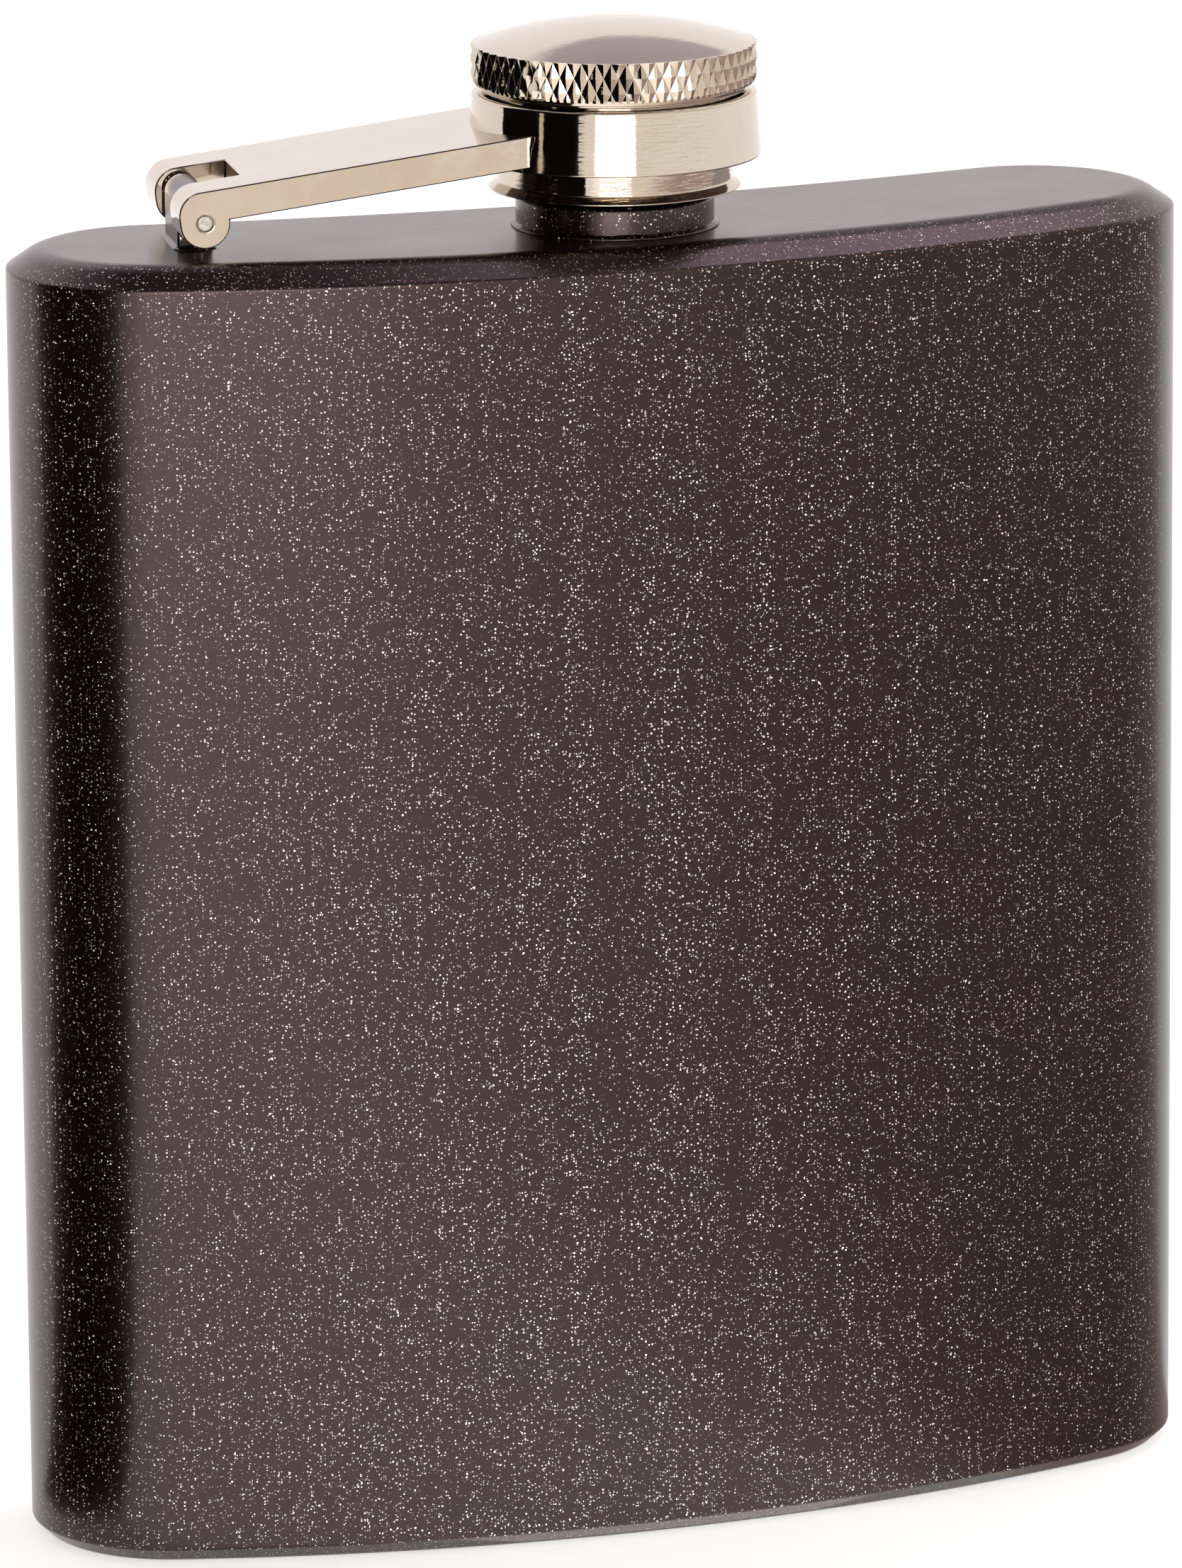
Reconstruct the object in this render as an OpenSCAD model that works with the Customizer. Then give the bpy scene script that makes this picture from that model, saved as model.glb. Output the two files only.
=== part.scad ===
// Hip flask with a captive screw cap on a swing arm.
// Millimetres, +Z up. X runs along the width and -Y is the convex front face.
// The origin is at the middle of the underside, so the flask stands on z = 0.

/* [Flask body] */
// Width across the narrow ends
body_w = 91; // [84:1:100]
// Height from the base to the flat of the top plate
body_h = 98.5; // [80:0.5:130]
// Thickness from front face to back face on the centre line
body_t = 24; // [23:0.5:28]
// Radius of the hollow back face
back_r = 191; // [150:1:400]
// Radius of the two narrow ends
end_r = 10.9; // [9:0.1:11]
// Sheet thickness of the panels and plates
sheet_t = 0.6; // [0.4:0.1:0.8]

/* [Edges] */
// Height of the sloping rim of the top plate
top_bevel_h = 1.5; // [1:0.1:3]
// Inset of the sloping rim of the top plate
top_bevel_in = 2.2; // [1:0.1:3]
// Radius that blends the rim into the flat of the top plate
top_blend_r = 3; // [1:0.5:4]
// Height of the sloping rim of the bottom plate
foot_bevel_h = 1.2; // [0.8:0.1:3]
// Inset of the sloping rim of the bottom plate
foot_bevel_in = 1.25; // [0.8:0.05:3]
// Radius that blends the rim into the flat of the bottom plate
foot_blend_r = 1; // [0.5:0.5:2]

/* [Neck] */
// Radius of the pouring bore
neck_bore_r = 5.5; // [5:0.1:5.6]
// Outer radius of the neck tube, at the root of its thread
neck_tube_r = 6.3; // [6.2:0.05:6.35]
// Radius of the shoulder at the foot of the neck
neck_foot_r = 7.4; // [7:0.1:7.6]
// Height of that shoulder above the top plate
neck_foot_h = 2.3; // [1.5:0.1:2.5]
// Height of the neck's rim above the top plate
neck_h = 9; // [8.5:0.1:9]
// Thread pitch: how far the cap rises in one turn
thread_pitch = 1.5; // [1.25:0.25:1.5]
// Number of turns of thread ridge on the neck and in the cap
thread_turns = 1.25; // [1:0.05:1.25]

/* [Hinge] */
// Turn of the arm about the neck, which puts its hinge midway between the curved faces
arm_turn = 6.8; // [5:0.1:8]
// Distance from the neck's axis to the hinge pin
pin_x = 32.15; // [31.5:0.05:33]
// Height of the hinge pin above the top plate
pin_h = 2.7; // [2.6:0.05:3]
// Radius of the hinge pin
pin_r = 0.65; // [0.5:0.05:0.8]
// Radius of the rounded top of the lug
lug_r = 1.3; // [1.2:0.05:1.4]
// Height of the middle of that rounding above the pin
lug_rise = 0.7; // [0.3:0.1:0.8]
// Width of the lug between the arm's ears
lug_w = 5.6; // [4:0.1:5.8]

/* [Swing arm] */
// Width of the arm
arm_w = 14.9; // [13:0.1:15.2]
// Thickness of the arm
arm_t = 2.35; // [2:0.05:2.6]
// Radius of the ears round the pin
ear_r = 1.85; // [1.6:0.05:2]
// Width of the slot between the ears
slot_w = 6.6; // [6.6:0.1:7.2]
// Radius of the collar's bore
collar_bore_r = 9; // [9:0.05:9.1]
// Outer radius of the collar at its upper edge
collar_top_r = 10.6; // [10.2:0.1:10.8]
// Outer radius of the collar at its lower edge
collar_foot_r = 10.95; // [10.8:0.05:11.2]
// Height of the collar's underside above the top plate
collar_z = 5.3; // [5.3:0.1:5.6]
// Height of the collar
collar_h = 4.8; // [4:0.1:4.8]

/* [Cap] */
// Radius over the knurled rim
cap_r = 10.65; // [10.3:0.05:10.9]
// Height of the knurled band's lower edge above the top plate
knurl_z = 10.9; // [10.8:0.1:11.2]
// Height of the knurled band
knurl_h = 2.75; // [2:0.05:4]
// Rise of the polished dome
dome_h = 1.7; // [0.8:0.1:2.5]
// Outer radius of the cap's threaded barrel
barrel_r = 8.8; // [8.7:0.05:8.8]
// Radius of the flange that keeps the barrel in the collar
flange_r = 9.4; // [9.3:0.05:9.6]

/* [Hidden] */
$fn = 96;
// Steps used for each stretch of the plan outline
FRONT_STEPS = 36;
BACK_STEPS = 32;
END_STEPS = 14;
// Steps of a rim's blend
BLEND_STEPS = 4;
// Overlap that lets one cut or join pass cleanly through another
OVER = 0.1;

// Plan outline: two end circles, joined by a convex front arc and a hollow back arc
end_x = body_w / 2 - end_r;
end_y = body_t / 2 + back_r - sqrt(pow(back_r + end_r, 2) - pow(end_x, 2));
front_rise = end_y + body_t / 2;
front_r = (pow(end_x, 2) + pow(front_rise, 2) - pow(end_r, 2)) / (2 * (front_rise - end_r));
front_cy = front_r - body_t / 2;
back_cy = back_r + body_t / 2;
front_tan = atan2(end_y - front_cy, end_x);
back_tan = atan2(back_cy - end_y, -end_x);
// The neck stands midway between the faces, which lies in front of the outline's middle
neck_y = (body_t / 2 - end_y - end_r) / 2;

// Neck and thread
spigot_h = 1;
rim_chamfer = 0.3;
ridge_h = 0.45;
thread_z = 5.2;
ridge_foot_w = 0.9;
ridge_crest_w = 0.35;
ridge_steps = 36;
// Share of the ridge's height at its ends, and share of a turn in which it grows to the full
ridge_end = 0.15;
ridge_fade = 0.25;
weld_w = 0.45;
weld_h = 0.4;
// Where the hollow of the weld's face lies, as a share of its width and height
weld_hollow = 0.33;

// Hinge
pin_gap = 0.03;
countersink_r = 0.74;
countersink_d = 0.12;
slot_reach = 3.4;
lug_weld_w = 0.35;
lug_weld_h = 0.3;

// Swing arm: the bar slopes up from the pin until it meets the foot of the collar
bar_lift = 0.05;
arm_slope = atan2(collar_z + bar_lift - pin_h, pin_x - collar_foot_r);
bar_end = pin_x / cos(arm_slope) - collar_bore_r + 1.5;
nose_r = 1.8;
EAR_STEPS = 40;
NOSE_STEPS = 20;

// Cap
lip_h = 0.45;
lip_in = 0.35;
washer_h = 0.2;
washer_r = 9.9;
barrel_bore_r = 7.6;
barrel_top = 11.8;
flange_z = 2.85;
flange_edge_h = 0.15;
flange_cone_h = 0.5;
flange_under_h = 0.35;
socket_gap = 0.1;
seal_r = 7.2;
seal_t = 1.2;
dome_r = (pow(cap_r, 2) + pow(dome_h, 2)) / (2 * dome_h);

coat = "#3d393a";
chrome = "#d9d0c6";

// Points of an arc, without its last one
function arc(cx, cy, r, from, to, steps) = [
    for (i = [0 : steps - 1])
        let (a = from + (to - from) * i / steps)
        [cx + r * cos(a), cy + r * sin(a)]
];

// Front half of the outline, left to right, from end tip to end tip
function front_half(inset) = concat(
    arc(-end_x, end_y, end_r - inset, 180, 180 - front_tan, END_STEPS),
    arc(0, front_cy, front_r - inset, 180 - front_tan, 360 + front_tan, FRONT_STEPS),
    arc(end_x, end_y, end_r - inset, 360 + front_tan, 360, END_STEPS)
);

// Back half of the outline, right to left
function back_half(inset) = concat(
    arc(end_x, end_y, end_r - inset, 0, back_tan, END_STEPS),
    arc(0, back_cy, back_r + inset, back_tan - 180, -back_tan, BACK_STEPS),
    arc(-end_x, end_y, end_r - inset, 180 - back_tan, 180, END_STEPS)
);

function outline(inset) = concat(front_half(inset), back_half(inset));

function reversed(list) = [for (i = [len(list) - 1 : -1 : 0]) list[i]];

// Solid through a chain of levels, each [inset from the outline, height]. The first level's
// face looks down and the last one's looks up.
module stack(levels) {
    count = len(outline(0));
    points = [
        for (level = levels)
            for (p = outline(level[0]))
                [p[0], p[1], level[1]]
    ];
    top = count * (len(levels) - 1);
    sides = [
        for (k = [0 : len(levels) - 2])
            for (i = [0 : count - 1])
                let (j = (i + 1) % count)
                [k * count + i, (k + 1) * count + i, (k + 1) * count + j, k * count + j]
    ];
    polyhedron(
        points,
        concat([[for (i = [0 : count - 1]) i]], sides, [[for (i = [count - 1 : -1 : 0]) top + i]])
    );
}

// Levels of a rim that slopes in by bevel_in over bevel_h and blends into the flat at height 0
function rim(bevel_in, bevel_h, blend_r) =
    let (slope = atan2(bevel_h, bevel_in), reach = blend_r * tan(slope / 2))
    concat(
        [[0, -bevel_h]],
        [
            for (i = [0 : BLEND_STEPS])
                let (a = slope * (1 - i / BLEND_STEPS))
                [bevel_in + reach - blend_r * sin(a), -blend_r * (1 - cos(a))]
        ]
    );

// Levels of the hollow under that rim, from its ceiling down, one sheet thickness inside it
function rim_hollow(bevel_in, bevel_h) =
    let (foot = sheet_t * norm([bevel_in, bevel_h]) / bevel_h)
    [
        [foot + (bevel_h - sheet_t) * bevel_in / bevel_h, -sheet_t],
        [foot, -bevel_h]
    ];

// Levels of a whole pressed plate, from its inner flat out to the rim's edge and back to its
// outer flat at height 0
function plate(bevel_in, bevel_h, blend_r) =
    concat(rim_hollow(bevel_in, bevel_h), rim(bevel_in, bevel_h, blend_r));

function turn_over(levels) = [for (level = reversed(levels)) [level[0], -level[1]]];

// Wraps children in the shift that puts the neck's axis at neck_y
module on_neck() {
    translate([0, neck_y, 0]) children();
}

// Sheet panel between the two plates, from the points of its outer and inner face
module panel(outer, inner) {
    translate([0, neck_y, foot_bevel_h])
        linear_extrude(body_h - top_bevel_h - foot_bevel_h)
            polygon(concat(outer, reversed(inner)));
}

module front_panel() {
    tip = [[body_w / 2, end_y]];
    inner_tip = [[body_w / 2 - sheet_t, end_y]];
    color(coat) panel(concat(front_half(0), tip), concat(front_half(sheet_t), inner_tip));
}

module back_panel() {
    tip = [[-body_w / 2, end_y]];
    inner_tip = [[-body_w / 2 + sheet_t, end_y]];
    color(coat) panel(concat(back_half(0), tip), concat(back_half(sheet_t), inner_tip));
}

module top_plate() {
    color(coat) on_neck() translate([0, 0, body_h]) difference() {
        stack(plate(top_bevel_in, top_bevel_h, top_blend_r));
        translate([0, 0, -sheet_t - OVER]) cylinder(r = neck_tube_r, h = sheet_t + 2 * OVER);
    }
}

module bottom_plate() {
    color(coat) on_neck() stack(turn_over(plate(foot_bevel_in, foot_bevel_h, foot_blend_r)));
}

// Helical ridge round the neck's axis, fading out at both ends. It stands on the wall at
// wall_r and reaches out by height, or inwards where height is negative.
module thread_ridge(wall_r, height) {
    sections = ceil(thread_turns * ridge_steps);
    side = sign(height);
    points = [
        for (i = [0 : sections])
            let (a = i * 360 / ridge_steps)
            let (fade = min(1, ridge_end + min(i, sections - i) / (ridge_steps * ridge_fade)))
            let (z = thread_z + thread_pitch * a / 360)
            let (root = wall_r - side * OVER, crest = wall_r + height * fade)
            for (p = [
                [root, -ridge_foot_w / 2],
                [crest, -ridge_crest_w / 2],
                [crest, ridge_crest_w / 2],
                [root, ridge_foot_w / 2]
            ])
                [p[0] * cos(a), p[0] * sin(a), z + p[1]]
    ];
    corners = side > 0 ? [0, 1, 2, 3] : [3, 2, 1, 0];
    sides = [
        for (i = [0 : sections - 1])
            for (k = [0 : 3])
                let (a = 4 * i + corners[k], b = 4 * i + corners[(k + 1) % 4])
                each [[a, b, b + 4], [a, b + 4, a + 4]]
    ];
    first = reversed(corners);
    last = [for (c = corners) 4 * sections + c];
    polyhedron(points, concat([first], sides, [last]));
}

module neck() {
    color(coat) on_neck() translate([0, 0, body_h]) {
        rotate_extrude() polygon([
            [neck_bore_r, -spigot_h],
            [neck_tube_r, -spigot_h],
            [neck_tube_r, 0],
            [neck_foot_r, 0],
            [neck_foot_r, neck_foot_h - rim_chamfer],
            [neck_foot_r - rim_chamfer, neck_foot_h],
            [neck_tube_r, neck_foot_h],
            [neck_tube_r, neck_h - rim_chamfer],
            [neck_tube_r - rim_chamfer, neck_h],
            [neck_bore_r, neck_h]
        ]);
        thread_ridge(neck_tube_r, ridge_h);
    }
}

module neck_weld() {
    color(coat) on_neck() translate([0, 0, body_h])
        rotate_extrude() polygon([
            [neck_foot_r, 0],
            [neck_foot_r + weld_w, 0],
            [neck_foot_r + weld_w * weld_hollow, weld_h * weld_hollow],
            [neck_foot_r, weld_h]
        ]);
}

// Puts children under the hinge pin at lift above the top plate: X along the arm, Y along
// the pin, Z up
module at_hinge(lift) {
    translate([0, neck_y, body_h + lift]) rotate([0, 0, -arm_turn]) translate([-pin_x, 0, 0]) children();
}

module at_pin() {
    at_hinge(pin_h) children();
}

// Cylinder along the pin, centred between the ears
module across(r, w) {
    rotate([90, 0, 0]) cylinder(r = r, h = w, center = true);
}

module hinge_lug() {
    color(coat) at_pin() difference() {
        union() {
            translate([0, 0, lug_rise]) across(lug_r, lug_w);
            translate([-lug_r, -lug_w / 2, -pin_h]) cube([2 * lug_r, lug_w, pin_h + lug_rise]);
        }
        across(pin_r + pin_gap, lug_w + 2 * OVER);
    }
}

module lug_weld() {
    long = 2 * lug_r + 2 * lug_weld_w;
    wide = lug_w + 2 * lug_weld_w;
    color(coat) at_hinge(0) difference() {
        translate([-long / 2, -wide / 2, 0]) cube([long, wide, lug_weld_h]);
        translate([-lug_r, -lug_w / 2, -OVER]) cube([2 * lug_r, lug_w, lug_weld_h + 2 * OVER]);
    }
}

module hinge_pin() {
    color(chrome) at_pin() across(pin_r, arm_w);
}

// Flat bar from the pin to the collar, with its underside through the pin's axis, the ears
// hanging round the pin and a rounded nose over them
module arm_bar() {
    side_view = concat(
        [[bar_end, arm_t]],
        arc(nose_r - ear_r, arm_t - nose_r, nose_r, 90, 180, NOSE_STEPS),
        arc(0, 0, ear_r, 180, 360, EAR_STEPS),
        [[ear_r, 0], [bar_end, 0]]
    );
    rotate([90, -arm_slope, 0]) linear_extrude(arm_w, center = true) polygon(side_view);
}

module swing_arm() {
    color(chrome) difference() {
        union() {
            at_pin() arm_bar();
            on_neck() translate([0, 0, body_h + collar_z])
                cylinder(r1 = collar_foot_r, r2 = collar_top_r, h = collar_h);
        }
        on_neck() translate([0, 0, body_h]) cylinder(r = collar_bore_r, h = collar_z + collar_h + OVER);
        at_pin() rotate([0, -arm_slope, 0])
            translate([-slot_reach, -slot_w / 2, -slot_reach]) cube([2 * slot_reach, slot_w, 2 * slot_reach]);
        at_pin() across(pin_r, arm_w + 2 * OVER);
        for (side = [-1, 1])
            at_pin() translate([0, side * arm_w / 2, 0]) across(countersink_r, 2 * countersink_d);
    }
}

module cap_head() {
    under = knurl_z - lip_h;
    seal_top = neck_h + seal_t;
    color(chrome) on_neck() translate([0, 0, body_h]) {
        intersection() {
            translate([0, 0, knurl_z + knurl_h + dome_h - dome_r]) sphere(r = dome_r, $fn = 192);
            translate([0, 0, knurl_z + knurl_h - OVER]) cylinder(r = cap_r, h = dome_h + 2 * OVER);
        }
        rotate_extrude() polygon([
            [0, seal_top],
            [barrel_bore_r - socket_gap, seal_top],
            [barrel_bore_r - socket_gap, barrel_top],
            [barrel_r, barrel_top],
            [barrel_r, under - washer_h],
            [washer_r, under - washer_h],
            [washer_r, under],
            [cap_r - lip_in, under],
            [cap_r, knurl_z],
            [cap_r, knurl_z + knurl_h],
            [0, knurl_z + knurl_h]
        ]);
    }
}

module cap_barrel() {
    cone_top = flange_z + flange_edge_h + flange_cone_h;
    color(chrome) on_neck() translate([0, 0, body_h]) {
        rotate_extrude() polygon([
            [barrel_bore_r, flange_z],
            [flange_r - flange_under_h, flange_z],
            [flange_r, flange_z + flange_edge_h / 2],
            [flange_r, flange_z + flange_edge_h],
            [barrel_r, cone_top],
            [barrel_r, barrel_top],
            [barrel_bore_r, barrel_top]
        ]);
        thread_ridge(barrel_bore_r, -ridge_h);
    }
}

module cap_seal() {
    color("#2b2b2b") on_neck() translate([0, 0, body_h + neck_h]) cylinder(r = seal_r, h = seal_t);
}

front_panel();
back_panel();
top_plate();
bottom_plate();
neck();
neck_weld();
hinge_lug();
lug_weld();
hinge_pin();
swing_arm();
cap_head();
cap_barrel();
cap_seal();
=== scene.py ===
import functools
import math

import bmesh
import bpy
from mathutils import Matrix, Vector, noise

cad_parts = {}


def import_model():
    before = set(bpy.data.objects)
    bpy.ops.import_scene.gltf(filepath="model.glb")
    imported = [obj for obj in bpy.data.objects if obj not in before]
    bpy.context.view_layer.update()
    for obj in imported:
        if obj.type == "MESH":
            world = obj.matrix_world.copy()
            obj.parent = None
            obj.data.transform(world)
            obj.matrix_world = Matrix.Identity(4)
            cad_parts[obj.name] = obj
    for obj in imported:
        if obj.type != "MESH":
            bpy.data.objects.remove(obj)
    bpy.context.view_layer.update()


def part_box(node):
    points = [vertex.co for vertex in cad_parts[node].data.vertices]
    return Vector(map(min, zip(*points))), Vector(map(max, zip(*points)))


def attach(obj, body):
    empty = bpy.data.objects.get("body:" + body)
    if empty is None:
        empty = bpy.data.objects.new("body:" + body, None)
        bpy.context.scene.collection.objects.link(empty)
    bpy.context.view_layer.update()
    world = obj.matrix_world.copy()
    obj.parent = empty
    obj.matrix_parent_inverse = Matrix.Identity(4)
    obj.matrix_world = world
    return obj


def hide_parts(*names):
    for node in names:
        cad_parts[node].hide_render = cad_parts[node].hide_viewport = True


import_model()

MM = 0.001
# lengths under this count as nothing
TINY = 1e-9

# ---------------------------------------------------------------- sizes from the frame
plate_low, plate_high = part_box("top_plate")
foot_low, foot_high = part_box("bottom_plate")
front_low, front_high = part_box("front_panel")
back_low, back_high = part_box("back_panel")
neck_low, neck_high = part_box("neck")
pin_low, pin_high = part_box("hinge_pin")
_, arm_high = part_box("swing_arm")
_, head_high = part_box("cap_head")
barrel_low, barrel_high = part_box("cap_barrel")
seal_low, seal_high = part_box("cap_seal")

AXIS_Y = (neck_low.y + neck_high.y) / 2
TOP_Z = plate_high.z
HALF_W = plate_high.x
HALF_T = AXIS_Y - front_low.y
END_R = back_high.y - back_low.y
END_X = HALF_W - END_R
END_Y = front_high.y - AXIS_Y
hollow_gap = HALF_T - END_Y
front_rise = END_Y + HALF_T
BACK_R = (END_X ** 2 + hollow_gap ** 2 - END_R ** 2) / (2 * (END_R - hollow_gap))
FRONT_R = (END_X ** 2 + front_rise ** 2 - END_R ** 2) / (2 * (front_rise - END_R))

# ---------------------------------------------------------------- sizes repeated from the part
SHEET = 0.6 * MM
TOP_BEVEL_H = TOP_Z - plate_low.z
TOP_BEVEL_IN = 2.2 * MM
TOP_BLEND_R = 3 * MM
FOOT_BEVEL_H = foot_high.z - foot_low.z
FOOT_BEVEL_IN = 1.25 * MM
FOOT_BLEND_R = 1 * MM
EDGE_R = 0.35 * MM

BORE_R = 5.5 * MM
TUBE_R = 6.3 * MM
SHOULDER_R = neck_high.x
SHOULDER_H = 2.3 * MM
NECK_H = neck_high.z - TOP_Z
SPIGOT_H = TOP_Z - neck_low.z
PITCH = 1.5 * MM
TURNS = 1.25
RIDGE_H = 0.45 * MM
RIDGE_FOOT = 0.9 * MM
RIDGE_CREST = 0.35 * MM
THREAD_Z = 5.2 * MM
# the walls that carry a thread have close-set levels between these heights
THREAD_LOW = THREAD_Z - 0.7 * MM
THREAD_HIGH = THREAD_Z + 2.8 * MM
THREAD_MARGIN = 0.1 * MM

# the hinge stands behind the neck's line, so the arm and its hinge are turned about the neck
pin_across = (pin_low.x + pin_high.x) / 2
pin_behind = (pin_low.y + pin_high.y) / 2 - AXIS_Y
ARM_TURN = math.atan2(pin_behind, -pin_across)
PIN_X = -math.hypot(pin_across, pin_behind)
PIN_Z = (pin_low.z + pin_high.z) / 2
PIN_R = 0.65 * MM
ARM_W = 14.9 * MM
LUG_R = 1.3 * MM
LUG_RISE = 0.7 * MM
LUG_W = 5.6 * MM
ARM_T = 2.35 * MM
EAR_R = 1.85 * MM
NOSE_R = 1.8 * MM
SLOT_W = 6.6 * MM
SLOT_REACH = 3.4 * MM
COUNTERSINK_R = 0.74 * MM
COUNTERSINK_D = 0.12 * MM
COLLAR_BORE_R = 9 * MM
COLLAR_TOP_R = 10.6 * MM
COLLAR_FOOT_R = arm_high.x
COLLAR_Z = 5.3 * MM
COLLAR_H = 4.8 * MM
BAR_LIFT = 0.05 * MM

CAP_R = head_high.x
KNURL_Z = 10.9 * MM
KNURL_H = 2.75 * MM
DOME_H = head_high.z - TOP_Z - KNURL_Z - KNURL_H
LIP_H = 0.45 * MM
LIP_IN = 0.35 * MM
WASHER_H = 0.2 * MM
WASHER_R = 9.9 * MM
BARREL_R = 8.8 * MM
BARREL_BORE_R = 7.6 * MM
BARREL_TOP = barrel_high.z - TOP_Z
SOCKET_GAP = 0.1 * MM
FLANGE_R = 9.4 * MM
FLANGE_Z = barrel_low.z - TOP_Z
FLANGE_EDGE = 0.15 * MM
FLANGE_CONE = 0.5 * MM
FLANGE_UNDER = 0.35 * MM

# ---------------------------------------------------------------- rings: x, y and normal
FRONT_STEPS = 96
BACK_STEPS = 80
END_STEPS = 36
ROUND = 192


def arc_ring(cx, cy, radius, start, stop, steps, side=1):
    """Points of an arc without its last one, each with its outward normal."""
    ring = []
    for i in range(steps):
        a = start + (stop - start) * i / steps
        c, s = math.cos(a), math.sin(a)
        ring.append((cx + radius * c, cy + radius * s, side * c, side * s))
    return ring


@functools.lru_cache(maxsize=None)
def half_outline(inset, back):
    """Front or back half of the flask's plan, tip to tip."""
    front_cy = FRONT_R - HALF_T
    back_cy = BACK_R + HALF_T
    front_tan = math.atan2(END_Y - front_cy, END_X)
    back_tan = math.atan2(back_cy - END_Y, -END_X)
    r = END_R - inset
    pi = math.pi
    if back:
        return (
            arc_ring(END_X, END_Y, r, 0, back_tan, END_STEPS)
            + arc_ring(0, back_cy, BACK_R + inset, back_tan - pi, -back_tan, BACK_STEPS, -1)
            + arc_ring(-END_X, END_Y, r, pi - back_tan, pi, END_STEPS)
        )
    return (
        arc_ring(-END_X, END_Y, r, pi, pi - front_tan, END_STEPS)
        + arc_ring(0, front_cy, FRONT_R - inset, pi - front_tan, 2 * pi + front_tan, FRONT_STEPS)
        + arc_ring(END_X, END_Y, r, 2 * pi + front_tan, 2 * pi, END_STEPS)
    )


@functools.lru_cache(maxsize=None)
def outline_ring(u):
    """Whole plan outline; u is minus the inset."""
    return half_outline(-u, False) + half_outline(-u, True)


@functools.lru_cache(maxsize=None)
def front_strip(u):
    tip = [(HALF_W + u, END_Y, 1, 0)]
    return half_outline(-u, False) + tip


@functools.lru_cache(maxsize=None)
def back_strip(u):
    tip = [(-HALF_W - u, END_Y, -1, 0)]
    return half_outline(-u, True) + tip


@functools.lru_cache(maxsize=None)
def bore_ring(radius):
    """Circle round the neck's axis with one point in line with each point of the outline."""
    ring = []
    for x, y, _, _ in outline_ring(0):
        a = math.atan2(y, x)
        ring.append((radius * math.cos(a), radius * math.sin(a), math.cos(a), math.sin(a)))
    return ring


@functools.lru_cache(maxsize=None)
def circle(radius):
    if radius < 1e-7:
        return [(0, 0, 1, 0)]
    return arc_ring(0, 0, radius, 0, 2 * math.pi, ROUND)


def turned(angle, tilt):
    """Shortest turn from one angle to another."""
    return (tilt - angle + math.pi) % (2 * math.pi) - math.pi


def profile(corners, closed=True, steps=6):
    """Path of (u, z, tilt of the normal) through corners (u, z, rounding radius). Outer
    walls run upwards, so that the normals point out. A corner of radius 0 is a crease."""
    count = len(corners)
    legs = []
    for i in range(count if closed else count - 1):
        a, b = corners[i], corners[(i + 1) % count]
        legs.append(math.atan2(a[0] - b[0], b[1] - a[1]))
    path = []
    for i, (u, z, r) in enumerate(corners):
        tilt_in = legs[i - 1] if closed or i > 0 else legs[0]
        tilt_out = legs[i] if closed or i < count - 1 else legs[-1]
        turn = turned(tilt_in, tilt_out)
        if r == 0 or abs(turn) < 1e-6:
            path.append((u, z, tilt_in))
            if abs(turn) > 1e-6:
                path.append((u, z, tilt_out))
            continue
        side = 1 if turn > 0 else -1
        back = r * math.tan(abs(turn) / 2)
        su = u + math.sin(tilt_in) * back
        sz = z - math.cos(tilt_in) * back
        cu = su - side * r * math.cos(tilt_in)
        cz = sz - side * r * math.sin(tilt_in)
        for k in range(steps + 1):
            tilt = tilt_in + turn * k / steps
            path.append((cu + side * r * math.cos(tilt), cz + side * r * math.sin(tilt), tilt))
    return path


# ---------------------------------------------------------------- meshes
def new_object(name, vertices, faces):
    mesh = bpy.data.meshes.new(name)
    mesh.from_pydata(vertices, [], faces)
    obj = bpy.data.objects.new(name, mesh)
    bpy.context.scene.collection.objects.link(obj)
    return obj


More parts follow.
